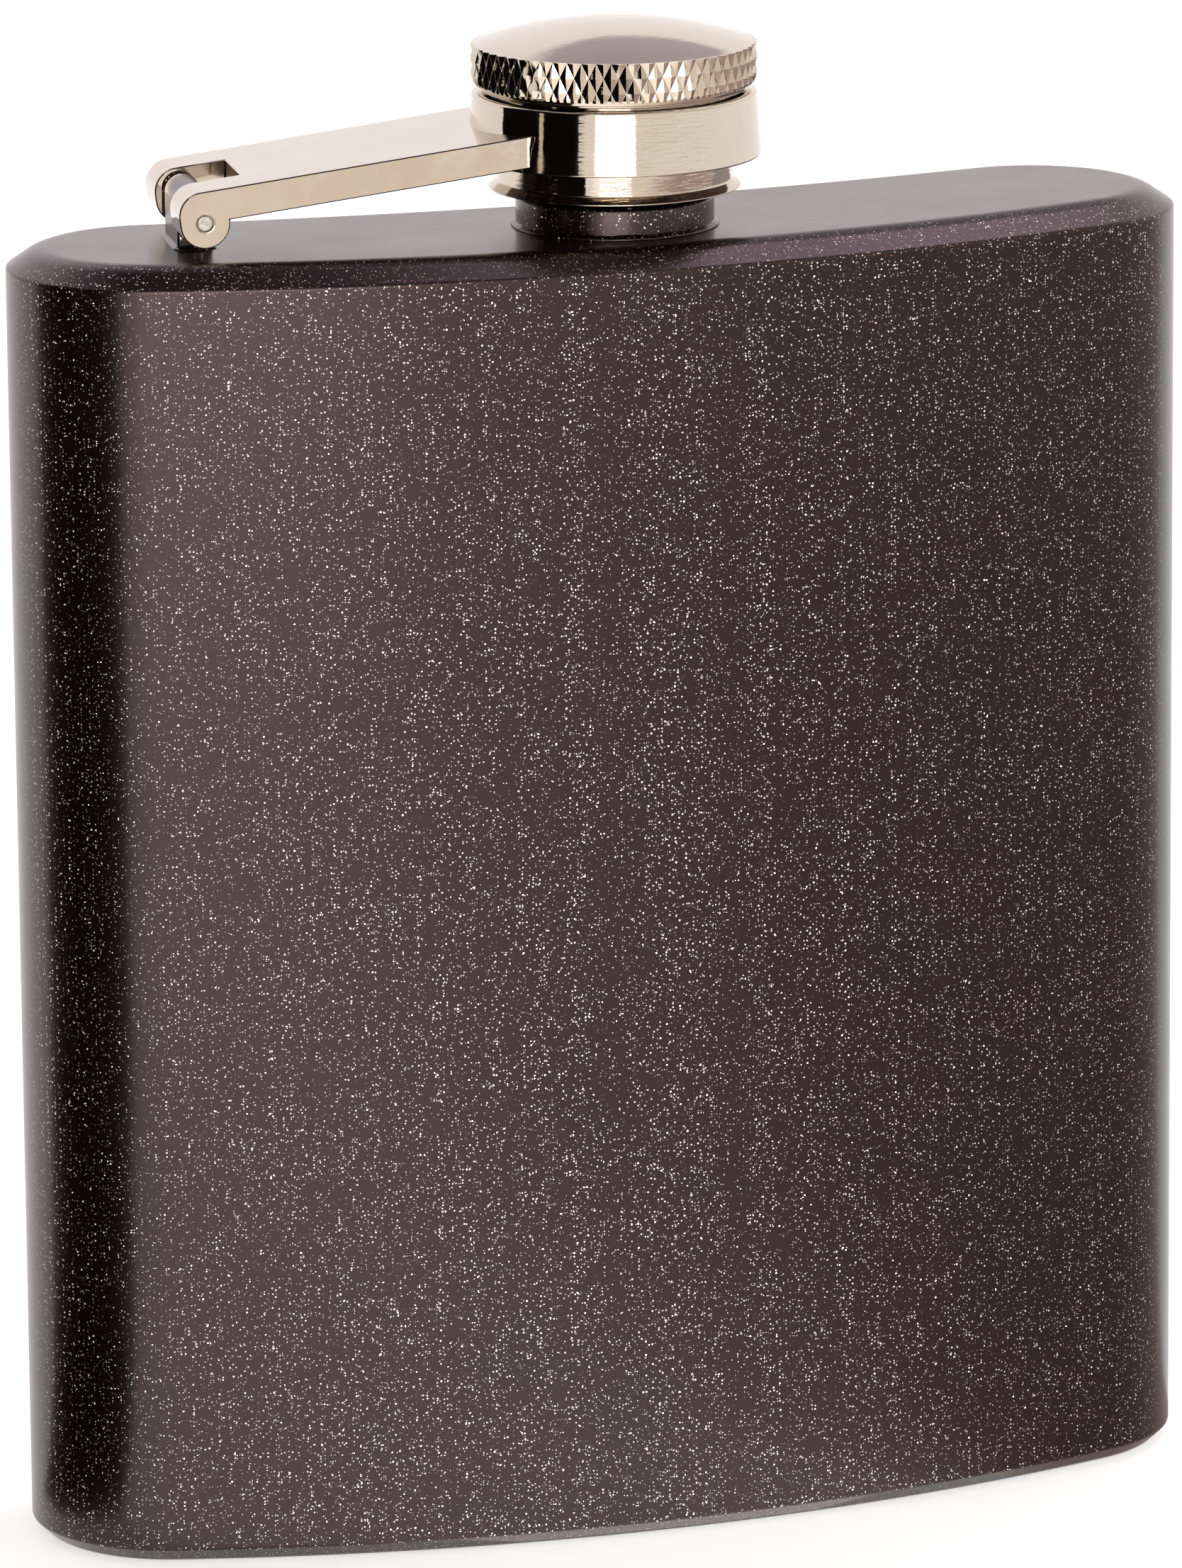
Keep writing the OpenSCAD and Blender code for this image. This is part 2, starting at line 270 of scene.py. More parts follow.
def sweep(name, path, ring_of, centre=(0, 0, 0), closed_path=True, closed_ring=True, move=None):
    """Skin over a path of (u, z, tilt), each carried round ring_of(u). Normals are exact,
    unless move changes the points: then they come from the faces."""
    vertices = []
    rows = []
    previous = None
    for u, z, tilt in path:
        ring = ring_of(u)
        if previous is not None and previous[0] is ring and abs(previous[1] - z) < TINY:
            rows.append((rows[-1][0], ring, tilt))
            continue
        rows.append((len(vertices), ring, tilt))
        for x, y, _, _ in ring:
            p = Vector((x, y, z))
            if move:
                p = move(p, u)
            vertices.append(p + Vector(centre))
        previous = (ring, z)
    if closed_path and rows[0][1] is rows[-1][1] and abs(path[0][1] - path[-1][1]) < TINY:
        last = rows[-1]
        drop = last[0]
        if drop != rows[0][0]:
            vertices = vertices[:drop]
            rows = [(rows[0][0] if r[0] == drop else r[0], r[1], r[2]) for r in rows]
    faces = []
    normals = []

    def corner(row, j):
        _, ring, tilt = row
        _, _, nx, ny = ring[j % len(ring)]
        c = math.cos(tilt)
        return Vector((nx * c, ny * c, math.sin(tilt)))

    pairs = len(rows) if closed_path else len(rows) - 1
    for i in range(pairs):
        a, b = rows[i], rows[(i + 1) % len(rows)]
        if a[0] == b[0]:
            continue
        size = max(len(a[1]), len(b[1]))
        for j in range(size if closed_ring else size - 1):
            k = (j + 1) % size
            if len(a[1]) == 1:
                faces.append((a[0], b[0] + k, b[0] + j))
                normals += [corner(a, 0), corner(b, k), corner(b, j)]
            elif len(b[1]) == 1:
                faces.append((a[0] + j, a[0] + k, b[0]))
                normals += [corner(a, j), corner(a, k), corner(b, 0)]
            else:
                faces.append((a[0] + j, a[0] + k, b[0] + k, b[0] + j))
                normals += [corner(a, j), corner(a, k), corner(b, k), corner(b, j)]
    if not closed_ring:
        starts = []
        for row in rows:
            if row[0] not in starts:
                starts.append(row[0])
        size = len(rows[0][1])
        for j, order in ((0, starts), (size - 1, starts[::-1])):
            face = tuple(s + j for s in order)
            faces.append(face)
            x, y = rows[0][1][j][2:]
            way = Vector((y, -x, 0)) if j == 0 else Vector((-y, x, 0))
            normals += [way] * len(face)
    obj = new_object(name, vertices, faces)
    if move:
        smooth_by_angle(obj)
    else:
        for p in obj.data.polygons:
            p.use_smooth = True
        obj.data.normals_split_custom_set(normals)
    return obj


def smooth_by_angle(obj, degrees=32):
    for p in obj.data.polygons:
        p.use_smooth = True
    obj.data.set_sharp_from_angle(angle=math.radians(degrees))


def apply_modifiers(obj):
    graph = bpy.context.evaluated_depsgraph_get()
    mesh = bpy.data.meshes.new_from_object(obj.evaluated_get(graph))
    old = obj.data
    obj.modifiers.clear()
    obj.data = mesh
    mesh.name = obj.name
    bpy.data.meshes.remove(old)


def combine(obj, other, operation):
    """Boolean of two meshes. The other one is used up."""
    modifier = obj.modifiers.new("cut", "BOOLEAN")
    modifier.operation = operation
    modifier.solver = "EXACT"
    modifier.object = other
    apply_modifiers(obj)
    bpy.data.objects.remove(other)


def soften(obj, width, segments=3, degrees=38):
    """Rounds every edge that is sharper than the angle given."""
    modifier = obj.modifiers.new("soften", "BEVEL")
    modifier.width = width
    modifier.segments = segments
    modifier.limit_method = "ANGLE"
    modifier.angle_limit = math.radians(degrees)
    modifier.use_clamp_overlap = True
    apply_modifiers(obj)


def weigh_normals(obj, degrees=32):
    smooth_by_angle(obj, degrees)
    modifier = obj.modifiers.new("normals", "WEIGHTED_NORMAL")
    modifier.keep_sharp = True
    modifier.weight = 80
    apply_modifiers(obj)


def prism(name, points, axis, low, high):
    """Closed prism through 2-D points. axis "y" takes them as (x, z), axis "z" as (x, y)."""
    count = len(points)
    vertices = []
    for level in (low, high):
        for a, b in points:
            vertices.append((a, level, b) if axis == "y" else (a, b, level))
    faces = [tuple(range(count)), tuple(range(2 * count - 1, count - 1, -1))]
    for i in range(count):
        j = (i + 1) % count
        faces.append((i, i + count, j + count, j))
    obj = new_object(name, vertices, faces)
    mesh = bmesh.new()
    mesh.from_mesh(obj.data)
    bmesh.ops.recalc_face_normals(mesh, faces=mesh.faces)
    mesh.to_mesh(obj.data)
    mesh.free()
    return obj


def rod(name, radius, low_y, high_y, steps=64):
    """Plain cylinder along the hinge pin, used for cutting."""
    points = []
    for i in range(steps):
        a = 2 * math.pi * i / steps
        points.append((PIN_X + radius * math.cos(a), PIN_Z + radius * math.sin(a)))
    return prism(name, points, "y", low_y, high_y)


# ---------------------------------------------------------------- materials
def material(name):
    made = bpy.data.materials.new(name)
    made.use_nodes = True
    tree = made.node_tree
    shader = tree.nodes["Principled BSDF"]
    return made, tree, shader


def node(tree, kind, links=None, **values):
    """New node. values set its properties and sockets, links join sockets to it."""
    made = tree.nodes.new(kind)
    for key, value in values.items():
        if hasattr(made, key) and key not in [s.name for s in made.inputs]:
            setattr(made, key, value)
        else:
            made.inputs[key.replace("_", " ")].default_value = value
    for key, source in (links or {}).items():
        socket = made.inputs[key]
        tree.links.new(source, socket)
    return made


def math_node(tree, operation, a, b=None, c=None):
    made = tree.nodes.new("ShaderNodeMath")
    made.operation = operation
    for i, value in enumerate((a, b, c)):
        if value is None:
            continue
        if isinstance(value, (int, float)):
            made.inputs[i].default_value = value
        else:
            tree.links.new(value, made.inputs[i])
    return made.outputs[0]


def ramp(tree, factor, stops):
    """Colour ramp with straight runs between its stops of (position, colour)."""
    made = tree.nodes.new("ShaderNodeValToRGB")
    elements = made.color_ramp.elements
    while len(elements) < len(stops):
        elements.new(0.5)
    for element, (position, colour) in zip(elements, stops):
        element.position = position
        element.color = (*colour, 1)
    tree.links.new(factor, made.inputs["Fac"])
    return made.outputs["Color"]


def grey(value):
    return (value, value, value)


def vary_roughness(tree, shader, pattern, seen, wanted):
    """Roughness that follows a pattern. seen is the pattern's range, wanted the roughness."""
    made = node(tree, "ShaderNodeMapRange", {"Value": pattern})
    for name, value in zip(("From Min", "From Max", "To Min", "To Max"), seen + wanted):
        made.inputs[name].default_value = value
    tree.links.new(made.outputs["Result"], shader.inputs["Roughness"])


def glitter_layer(tree, place, cells, size, share):
    """Mask, random tone and random colour of flakes strewn through the coat. cells is their
    number per metre, size the flake radius as a share of a cell, share how many are kept."""
    cloud = node(tree, "ShaderNodeTexVoronoi", {"Vector": place}, Scale=cells, Randomness=0.85)
    split = node(tree, "ShaderNodeSeparateColor", {"Color": cloud.outputs["Color"]})
    reach = math_node(tree, "MULTIPLY", split.outputs["Green"], size * 0.35)
    reach = math_node(tree, "ADD", reach, size * 0.75)
    inside = math_node(tree, "LESS_THAN", cloud.outputs["Distance"], reach)
    kept = math_node(tree, "LESS_THAN", split.outputs["Red"], share)
    mask = math_node(tree, "MULTIPLY", inside, kept)
    return mask, split.outputs["Blue"], cloud.outputs["Color"]


def glitter_coat():
    """Charcoal powder coat: near-black satin ground full of silver flakes under a clear top
    layer, which outshines the flakes where it is seen at a glancing angle."""
    made, tree, shader = material("look_glitter_coat")
    place = node(tree, "ShaderNodeTexCoord").outputs["Object"]
    large, large_tone, large_tilt = glitter_layer(tree, place, 3800, 0.24, 0.55)
    small, small_tone, _ = glitter_layer(tree, place, 5600, 0.25, 0.42)
    clouds = node(tree, "ShaderNodeTexNoise", {"Vector": place}, Scale=90.0, Detail=3.0)
    ground = ramp(
        tree,
        clouds.outputs["Fac"],
        [(0.3, (0.002, 0.0003, 0.0004)), (0.7, (0.0042, 0.0008, 0.001))],
    )
    tone = math_node(tree, "MULTIPLY", math_node(tree, "MULTIPLY_ADD", large_tone, 0.7, c=0.3), large)
    tone_small = math_node(tree, "MULTIPLY", small_tone, small)
    tone_small = math_node(tree, "MULTIPLY", tone_small, 0.8)
    tone = math_node(tree, "MAXIMUM", tone, tone_small)
    facing = node(tree, "ShaderNodeLayerWeight", Blend=0.5).outputs["Facing"]
    seen = ramp(tree, facing, [(0.42, grey(1)), (0.72, grey(0.06))])
    flakes = math_node(tree, "MULTIPLY", math_node(tree, "MAXIMUM", large, small), seen)
    shine = ramp(
        tree,
        tone,
        [(0.0, (0.05, 0.045, 0.045)), (0.45, (0.6, 0.56, 0.55)), (0.8, (1.0, 0.98, 0.97))],
    )
    colour = node(tree, "ShaderNodeMix", data_type="RGBA")
    tree.links.new(flakes, colour.inputs["Factor"])
    tree.links.new(ground, colour.inputs[6])
    tree.links.new(shine, colour.inputs[7])
    tree.links.new(colour.outputs[2], shader.inputs["Base Color"])
    tree.links.new(math_node(tree, "MULTIPLY", flakes, 0.85), shader.inputs["Metallic"])
    patches = node(tree, "ShaderNodeTexNoise", {"Vector": place}, Scale=160.0, Detail=4.0)
    vary_roughness(tree, shader, patches.outputs["Fac"], (0.3, 0.7), (0.26, 0.3))
    # orange-peel of the powder, and flakes that lie at their own angles
    peel = node(tree, "ShaderNodeTexNoise", {"Vector": place}, Scale=2600.0, Detail=2.0)
    bump = node(tree, "ShaderNodeBump", {"Height": peel.outputs["Fac"]}, Strength=0.12, Distance=0.00004)
    tilt = node(tree, "ShaderNodeVectorMath", {0: large_tilt}, operation="SUBTRACT")
    tilt.inputs[1].default_value = (0.5, 0.5, 0.5)
    lean = node(tree, "ShaderNodeVectorMath", {0: tilt.outputs["Vector"]}, operation="SCALE")
    tree.links.new(math_node(tree, "MULTIPLY", flakes, 0.9), lean.inputs["Scale"])
    total = node(
        tree,
        "ShaderNodeVectorMath",
        {0: bump.outputs["Normal"], 1: lean.outputs["Vector"]},
        operation="ADD",
    )
    unit = node(tree, "ShaderNodeVectorMath", {0: total.outputs["Vector"]}, operation="NORMALIZE")
    tree.links.new(unit.outputs["Vector"], shader.inputs["Normal"])
    shader.inputs["IOR"].default_value = 1.5
    shader.inputs["Specular IOR Level"].default_value = 0.5
    shader.inputs["Specular Tint"].default_value = (1.0, 0.7, 0.73, 1)
    shader.inputs["Coat Weight"].default_value = 0.28
    shader.inputs["Coat Roughness"].default_value = 0.16
    shader.inputs["Coat IOR"].default_value = 1.5
    shader.inputs["Coat Tint"].default_value = (1.0, 0.93, 0.95, 1)
    return made


def bright_nickel():
    """Warm polished plate with fine turning marks and a little haze."""
    made, tree, shader = material("look_bright_nickel")
    place = node(tree, "ShaderNodeTexCoord").outputs["Object"]
    haze = node(tree, "ShaderNodeTexNoise", {"Vector": place}, Scale=260.0, Detail=5.0)
    colour = ramp(
        tree,
        haze.outputs["Fac"],
        [(0.3, (0.585, 0.51, 0.43)), (0.7, (0.615, 0.545, 0.46))],
    )
    tree.links.new(colour, shader.inputs["Base Color"])
    shader.inputs["Metallic"].default_value = 1.0
    vary_roughness(tree, shader, haze.outputs["Fac"], (0.35, 0.75), (0.035, 0.11))
    flat = node(tree, "ShaderNodeMapping", {"Vector": place})
    flat.inputs["Scale"].default_value = (0.12, 0.12, 1.0)
    marks = node(tree, "ShaderNodeTexNoise", {"Vector": flat.outputs["Vector"]}, Scale=5200.0, Detail=3.0)
    waves = node(tree, "ShaderNodeTexNoise", {"Vector": place}, Scale=420.0, Detail=2.0)
    first = node(tree, "ShaderNodeBump", {"Height": waves.outputs["Fac"]}, Strength=0.25, Distance=0.00005)
    split = node(tree, "ShaderNodeSeparateXYZ", {"Vector": place})
    across = math_node(tree, "POWER", split.outputs["X"], 2.0)
    behind = math_node(tree, "POWER", math_node(tree, "SUBTRACT", split.outputs["Y"], AXIS_Y), 2.0)
    away = math_node(tree, "SQRT", math_node(tree, "ADD", across, behind))
    turned_part = math_node(tree, "LESS_THAN", away, COLLAR_FOOT_R + 0.1 * MM)
    height = math_node(tree, "MULTIPLY", marks.outputs["Fac"], turned_part)
    second = node(
        tree,
        "ShaderNodeBump",
        {"Height": height, "Normal": first.outputs["Normal"]},
        Strength=0.3,
        Distance=0.00003,
    )
    tree.links.new(second.outputs["Normal"], shader.inputs["Normal"])
    return made


def pin_steel():
    """Pin ends that were cut, cleaned and polished with the arm."""
    made, tree, shader = material("look_pin_steel")
    place = node(tree, "ShaderNodeTexCoord").outputs["Object"]
    marks = node(tree, "ShaderNodeTexNoise", {"Vector": place}, Scale=3500.0, Detail=4.0)
    colour = ramp(tree, marks.outputs["Fac"], [(0.3, (0.34, 0.31, 0.28)), (0.7, (0.52, 0.48, 0.44))])
    tree.links.new(colour, shader.inputs["Base Color"])
    shader.inputs["Metallic"].default_value = 1.0
    vary_roughness(tree, shader, marks.outputs["Fac"], (0.3, 0.7), (0.2, 0.38))
    bump = node(tree, "ShaderNodeBump", {"Height": marks.outputs["Fac"]}, Strength=0.3, Distance=0.00003)
    tree.links.new(bump.outputs["Normal"], shader.inputs["Normal"])
    return made


def black_seal():
    """Matt black rubber."""
    made, tree, shader = material("look_black_seal")
    place = node(tree, "ShaderNodeTexCoord").outputs["Object"]
    grain = node(tree, "ShaderNodeTexNoise", {"Vector": place}, Scale=1800.0, Detail=4.0)
    colour = ramp(tree, grain.outputs["Fac"], [(0.3, (0.012, 0.012, 0.012)), (0.7, (0.03, 0.029, 0.028))])
    tree.links.new(colour, shader.inputs["Base Color"])
    vary_roughness(tree, shader, grain.outputs["Fac"], (0.3, 0.7), (0.55, 0.75))
    bump = node(tree, "ShaderNodeBump", {"Height": grain.outputs["Fac"]}, Strength=0.4, Distance=0.00005)
    tree.links.new(bump.outputs["Normal"], shader.inputs["Normal"])
    return made


COAT = glitter_coat()
NICKEL = bright_nickel()
STEEL = pin_steel()
RUBBER = black_seal()


def finish_piece(obj, look, body, *nodes):
    """Gives a piece its material, its body, and the CAD nodes that it stands for."""
    obj.data.materials.clear()
    obj.data.materials.append(look)
    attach(obj, body)
    if nodes:
        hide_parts(*nodes)
    return obj


# ---------------------------------------------------------------- flask body
def edge_path(z, fall, first, last, steps=4):
    """Rounding where the upright wall at u = 0 meets a bevel that leans in by fall. first
    and last are the share of the turn that this piece takes."""
    back = EDGE_R * math.tan(fall / 2)
    path = []
    for k in range(steps + 1):
        tilt = fall * (first + (last - first) * k / steps)
        path.append((EDGE_R * (math.cos(tilt) - 1), z - back + EDGE_R * math.sin(tilt), tilt))
    return path


TOP_FALL = math.atan2(TOP_BEVEL_IN, TOP_BEVEL_H)
FOOT_FALL = math.atan2(FOOT_BEVEL_IN, FOOT_BEVEL_H)
body_centre = (0, AXIS_Y, 0)


def mirrored(path, z):
    """The same path upside down about height z, run the other way."""
    return [(u, 2 * z - h, -tilt) for u, h, tilt in reversed(path)]


def panel(name, strip, cad_node):
    top_edge = edge_path(plate_low.z, TOP_FALL, 0, 0.5)
    foot_edge = mirrored(edge_path(foot_high.z, FOOT_FALL, 0, 0.5), foot_high.z)
    wall = foot_edge + top_edge
    top = top_edge[-1]
    foot = foot_edge[0]
    path = wall + [
        (top[0], top[1], math.pi / 2),
        (-SHEET, top[1], math.pi / 2),
        (-SHEET, top[1], math.pi),
        (-SHEET, foot[1], math.pi),
        (-SHEET, foot[1], -math.pi / 2),
        (foot[0], foot[1], -math.pi / 2),
    ]
    obj = sweep(name, path, strip, body_centre, closed_ring=False)
    return finish_piece(obj, COAT, "flask", cad_node)


def rim_path(edge_z, flat_z, bevel_in, bevel_h, blend_r):
    """Outer skin of a pressed plate, from the seam at the wall to its flat."""
    fall = math.atan2(bevel_in, bevel_h)
    slope = math.pi / 2 - fall
    centre_u = -(bevel_in + blend_r * math.tan(slope / 2))
    path = edge_path(edge_z, fall, 0.5, 1)
    steps = 10
    for k in range(steps + 1):
        tilt = fall + slope * k / steps
        path.append((centre_u + blend_r * math.cos(tilt), flat_z - blend_r + blend_r * math.sin(tilt), tilt))
    return path


def rim_hollow(edge_z, flat_z, bevel_in, bevel_h, seam):
    """Inner skin of that plate, from its ceiling back to the seam."""
    fall = math.atan2(bevel_in, bevel_h)
    foot = SHEET / math.cos(fall)
    ceiling = foot + (bevel_h - SHEET) * bevel_in / bevel_h
    return [
        (-ceiling, flat_z - SHEET, -math.pi / 2),
        (-ceiling, flat_z - SHEET, fall + math.pi),
        (-foot, seam[1], fall + math.pi),
        (-foot, seam[1], -math.pi / 2),
        (seam[0], seam[1], -math.pi / 2),
    ]


def top_plate():
    outer = rim_path(plate_low.z, TOP_Z, TOP_BEVEL_IN, TOP_BEVEL_H, TOP_BLEND_R)
    hole = ("hole", TUBE_R)
    inner = rim_hollow(plate_low.z, TOP_Z, TOP_BEVEL_IN, TOP_BEVEL_H, outer[0])
    path = (
        outer
        + [
            (hole, TOP_Z, math.pi / 2),
            (hole, TOP_Z, math.pi),
            (hole, TOP_Z - SHEET, math.pi),
            (hole, TOP_Z - SHEET, -math.pi / 2),
        ]
        + inner
    )

    def ring_of(u):
        return bore_ring(u[1]) if isinstance(u, tuple) else outline_ring(u)

    obj = sweep("top_plate_shell", path, ring_of, body_centre)
    return finish_piece(obj, COAT, "flask", "top_plate")


def bottom_plate():
    upper = rim_path(foot_high.z, 2 * foot_high.z, FOOT_BEVEL_IN, FOOT_BEVEL_H, FOOT_BLEND_R)
    inner = rim_hollow(foot_high.z, 2 * foot_high.z, FOOT_BEVEL_IN, FOOT_BEVEL_H, upper[0])
    middle = ("point", 0)
    path = (
        upper
        + [(middle, 2 * foot_high.z, math.pi / 2)]
        + [(middle, 2 * foot_high.z - SHEET, -math.pi / 2)]
        + inner
    )

    def ring_of(u):
        return circle(0) if isinstance(u, tuple) else outline_ring(u)

    turned_path = mirrored(path, foot_high.z)
    obj = sweep("bottom_plate_shell", turned_path, ring_of, body_centre)
    return finish_piece(obj, COAT, "flask", "bottom_plate")


# ---------------------------------------------------------------- neck and thread
neck_centre = (0, AXIS_Y, TOP_Z)


def thread_height(x, y, z, grown):
    """Height of the thread ridge at a point. grown shifts the ridge for its clearance."""
    angle = math.atan2(y, x) % (2 * math.pi)
    best = 0
    for turn in range(int(TURNS) + 2):
        run = angle + 2 * math.pi * turn
        if run > TURNS * 2 * math.pi:
            break
        off = abs(z - THREAD_Z - PITCH * run / (2 * math.pi))
        half_foot = RIDGE_FOOT / 2
        half_crest = RIDGE_CREST / 2
        rise = min(1, max(0, (half_foot - off) / (half_foot - half_crest)))
        ends = min(run, TURNS * 2 * math.pi - run) / (math.pi / 3)
        best = max(best, rise * rise * (3 - 2 * rise) * min(1, ends) * grown)
    return best


def thread_rows(u, low, high, tilt, step=0.09 * MM):
    """Close-set levels of a wall that carries a thread."""
    count = max(2, round(abs(high - low) / step))
    return [(u, low + (high - low) * k / count, tilt) for k in range(count + 1)]


def neck():
    chamfer = 0.3 * MM
    wall = thread_rows(TUBE_R, THREAD_LOW, THREAD_HIGH, 0)
    lower = profile(
        [
            (BORE_R, -SPIGOT_H, 0),
            (TUBE_R, -SPIGOT_H, 0),
            (TUBE_R, 0, 0),
            (SHOULDER_R, 0, 0),
            (SHOULDER_R, SHOULDER_H, chamfer),
            (TUBE_R, SHOULDER_H, 0.25 * MM),
            (TUBE_R, THREAD_Z - 1 * MM, 0),
        ],
        closed=False,
    )
    upper = profile(
        [
            (TUBE_R, THREAD_Z + 3 * MM, 0),
            (TUBE_R, NECK_H, chamfer),
            (BORE_R, NECK_H, 0.2 * MM),
            (BORE_R, -SPIGOT_H, 0),
        ],
        closed=False,
    )

    def move(p, u):
        if THREAD_LOW - THREAD_MARGIN < p.z < THREAD_HIGH + THREAD_MARGIN and abs(u - TUBE_R) < 1e-6:
            grown = 1 + thread_height(p.x, p.y, p.z, RIDGE_H) / TUBE_R
            return Vector((p.x * grown, p.y * grown, p.z))
        return p

    obj = sweep("neck_tube", lower + wall + upper[:-1], circle, neck_centre, move=move)
    return finish_piece(obj, COAT, "flask", "neck")


def neck_weld():
    """Slightly uneven bead round the foot of the neck."""
    out = 0.45 * MM
    path = profile(
        [
            (SHOULDER_R - 0.2 * MM, 0, 0),
            (SHOULDER_R + out * 0.95, 0, 0.06 * MM),
            (SHOULDER_R + out * 0.8, 0.16 * MM, 0.12 * MM),
            (SHOULDER_R + 0.02 * MM, 0.38 * MM, 0.08 * MM),
            (SHOULDER_R - 0.2 * MM, 0.38 * MM, 0),
        ],
        steps=4,
    )

    def move(p, u):
        if u < SHOULDER_R:
            return p
        ripple = noise.noise(Vector((p.x * 620, p.y * 620, 3.1)))
        grown = 1 + 0.005 * ripple - 0.004
        return Vector((p.x * grown, p.y * grown, p.z * (1 + 0.18 * ripple) if p.z > 1e-6 else p.z))

    obj = sweep("neck_weld_bead", path, circle, neck_centre, move=move)
    return finish_piece(obj, COAT, "flask", "neck_weld")


# ---------------------------------------------------------------- hinge
LUG_WELD_W = 0.35 * MM
LUG_WELD_H = 0.3 * MM


def turn_to_hinge(obj):
    """Turns a mesh that was built with its arm straight along X about the neck's axis."""
    neck_axis = Vector((0, AXIS_Y, 0))
    turn = Matrix.Rotation(-ARM_TURN, 4, "Z")
    obj.data.transform(Matrix.Translation(neck_axis) @ turn @ Matrix.Translation(-neck_axis))


def hinge_lug():
    steps = 32
    points = [(PIN_X - LUG_R, TOP_Z), (PIN_X + LUG_R, TOP_Z)]
    for k in range(steps + 1):
        a = math.pi * k / steps
        points.append((PIN_X + LUG_R * math.cos(a), PIN_Z + LUG_RISE + LUG_R * math.sin(a)))
    low, high = AXIS_Y - LUG_W / 2, AXIS_Y + LUG_W / 2
    obj = prism("hinge_knuckle", points, "y", low, high)
    soften(obj, 0.2 * MM)
    combine(obj, rod("lug_bore", PIN_R + 0.03 * MM, low - MM, high + MM), "DIFFERENCE")
    weigh_normals(obj)
    turn_to_hinge(obj)
    return finish_piece(obj, COAT, "flask", "hinge_lug")


@functools.lru_cache(maxsize=None)
def foot_ring(u):
    """Rounded rectangle round the foot of the lug, grown by u."""
    corner = 0.25 * MM
    steps = 8
    ring = []
    for k, (sx, sy) in enumerate(((1, -1), (1, 1), (-1, 1), (-1, -1))):
        cx = sx * (LUG_R - corner)
        cy = sy * (LUG_W / 2 - corner)
        for i in range(steps + 1):
            a = math.pi / 2 * (k - 1 + i / steps)
            c, s = math.cos(a), math.sin(a)
            ring.append((cx + (corner + u) * c, cy + (corner + u) * s, c, s))
    return ring


def lug_weld():
    """Hollow fillet of weld under the coat."""
    path = profile(
        [
            (-0.15 * MM, 0, 0),
            (LUG_WELD_W, 0, 0.02 * MM),
            (LUG_WELD_W * 0.86, 0.07 * MM, 0.05 * MM),
            (0.06 * MM, LUG_WELD_H * 0.6, 0.3 * MM),
            (0.01 * MM, LUG_WELD_H, 0.02 * MM),
            (-0.15 * MM, LUG_WELD_H, 0),
        ],
        steps=4,
    )
    obj = sweep("lug_weld_fillet", path, foot_ring, (PIN_X, AXIS_Y, TOP_Z))
    turn_to_hinge(obj)
    return finish_piece(obj, COAT, "flask", "lug_weld")


def hinge_pin():
    """Pin with lightly chamfered, faintly domed ends, turned about its own axis."""
    half = ARM_W / 2
    radius = PIN_R - 0.02 * MM
    path = profile(
        [
            (0, -half, 0),
            (radius * 0.84, -half + 0.01 * MM, 0.08 * MM),
            (radius, -half + 0.14 * MM, 0.05 * MM),
            (radius, half - 0.14 * MM, 0.05 * MM),
            (radius * 0.84, half - 0.01 * MM, 0.08 * MM),
            (0, half, 0),
        ],
        closed=False,
    )
    obj = sweep("hinge_pin_rod", path, circle, closed_path=False)
    turn = Matrix.Translation((PIN_X, AXIS_Y, PIN_Z)) @ Matrix.Rotation(math.pi / 2, 4, "X")
    obj.data.transform(turn)
    turn_to_hinge(obj)
    return finish_piece(obj, STEEL, "arm", "hinge_pin")


# ---------------------------------------------------------------- swing arm
ARM_SLOPE = math.atan2(COLLAR_Z + BAR_LIFT - (PIN_Z - TOP_Z), -PIN_X - COLLAR_FOOT_R)
BAR_EDGE = 0.2 * MM
FLARE_R = 0.9 * MM
BAR_END_R = 9.7 * MM


def bar_side_view():
    """Bar seen from the side in the frame, with its underside through the pin's axis."""
    length = -PIN_X / math.cos(ARM_SLOPE)
    local = [(length, ARM_T)]
    steps = 24
    for k in range(steps + 1):
        a = math.pi / 2 * (1 + k / steps)
        local.append((NOSE_R - EAR_R + NOSE_R * math.cos(a), ARM_T - NOSE_R + NOSE_R * math.sin(a)))
    for k in range(2 * steps + 1):
        a = math.pi * (1 + k / (2 * steps))
        point = (EAR_R * math.cos(a), EAR_R * math.sin(a))
        if math.dist(point, local[-1]) > 1e-6:
            local.append(point)
    local.append((length, 0))
    c, s = math.cos(ARM_SLOPE), math.sin(ARM_SLOPE)
    return [(PIN_X + x * c - z * s, PIN_Z + x * s + z * c) for x, z in local]


def bar_plan_view():
    """Bar seen from above: slot between the ears, and a flare where it runs into the collar."""
    half = ARM_W / 2
    collar_r = (COLLAR_TOP_R + COLLAR_FOOT_R) / 2
    left = PIN_X - 3 * MM
    slot_end = PIN_X + SLOT_REACH * math.cos(ARM_SLOPE)
    flare_x = -math.sqrt((collar_r + FLARE_R) ** 2 - (half + FLARE_R) ** 2)
    touch = math.atan2(half + FLARE_R, -flare_x)
    flare = []
    steps = 8
    for k in range(steps + 1):
        a = math.pi / 2 + (touch - math.pi / 2) * k / steps
        flare.append((flare_x + FLARE_R * math.cos(a), half + FLARE_R - FLARE_R * math.sin(a)))
    inner = []
    spread = math.atan2(flare[-1][1], -flare[-1][0])
    for k in range(17):
        a = math.pi - spread + 2 * spread * k / 16
        inner.append((BAR_END_R * math.cos(a), BAR_END_R * math.sin(a)))
    mirrored_flare = [(x, -y) for x, y in reversed(flare)]
    slot_half = SLOT_W / 2
    ears = [
        (left, -half),
        (left, -slot_half),
        (slot_end, -slot_half),
        (slot_end, slot_half),
        (left, slot_half),
    ]
    points = [(left, half)] + flare + inner + mirrored_flare + ears
    return [(x, AXIS_Y + y) for x, y in points]


